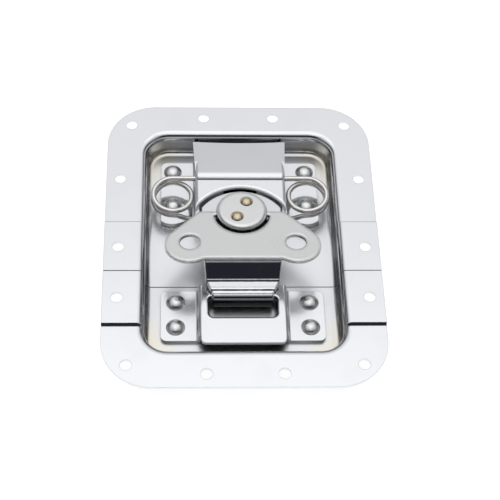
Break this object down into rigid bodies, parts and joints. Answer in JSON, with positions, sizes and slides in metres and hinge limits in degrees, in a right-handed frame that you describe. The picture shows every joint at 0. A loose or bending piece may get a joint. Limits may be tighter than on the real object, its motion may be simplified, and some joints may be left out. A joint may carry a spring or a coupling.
{
  "type": "butterfly case latch",
  "caption": "Recessed butterfly latch: a folding wing turns an eccentric that draws a sprung, hinged claw into a riveted keeper plate, all set in a split pressed dish.",
  "frame": {"origin": "centre of the four corner rivet holes, on the flange's back face", "axes": "+Y from the keeper to the hinge, +Z out of the case towards the user, +X to the right"},
  "size_m": [0.112, 0.14, 0.024],
  "materials": {
    "dish_steel": "bright plated, pressed sheet",
    "strap_steel": "bright plated, pressed strap",
    "wing_steel": "satin plated",
    "turned_steel": "turned and plated",
    "rivet_steel": "bright plated, domed",
    "cap_rivet": "warm nickel tone, domed",
    "spring_steel": "polished round wire"
  },
  "bodies": {
    "dish": {"bracket_rivet_1": "rivet_steel", "bracket_rivet_2": "rivet_steel", "bracket_rivet_3": "rivet_steel", "bracket_rivet_4": "rivet_steel", "hinge_bracket": "strap_steel", "keeper_plate": "strap_steel", "keeper_rivet_1": "rivet_steel", "keeper_rivet_2": "rivet_steel", "keeper_rivet_3": "rivet_steel", "keeper_rivet_4": "rivet_steel", "lift_spring": "spring_steel", "lower_dish": "dish_steel", "upper_dish": "dish_steel"},
    "carriage": {"carriage": "strap_steel", "guide_rivet_1": "rivet_steel", "guide_rivet_2": "rivet_steel"},
    "hub": {"cam_spindle": "turned_steel", "spindle_washer": "turned_steel", "hub_cap": "wing_steel", "cap_rivet_1": "cap_rivet", "cap_rivet_2": "cap_rivet"},
    "wing": {"wing": "wing_steel"},
    "claw": {"claw": "strap_steel"}
  },
  "joints": [
    {"name": "carriage_tilt", "type": "hinge", "parent": "dish", "child": "carriage", "pos_m": [0, 0.0314, 0.0002], "axis": [-1, 0, 0], "range_deg": [0, 15]},
    {"name": "hub_turn", "type": "hinge", "parent": "carriage", "child": "hub", "pos_m": [0, 0.0082, 0.0045], "axis": [0, 0.0958, 0.9954], "range_deg": [0, 180]},
    {"name": "wing_flip", "type": "hinge", "parent": "hub", "child": "wing", "pos_m": [0, 0.00743, 0.00696], "axis": [-1, 0, 0], "range_deg": [0, 85]},
    {"name": "claw_travel", "type": "slide", "parent": "carriage", "child": "claw", "axis": [0, -0.9954, 0.0958], "range_m": [0, 0.006]}
  ],
  "couplings": [
    {"joint": "claw_travel", "follows": "hub_turn", "m_per_rad": 0.0019099}
  ]
}
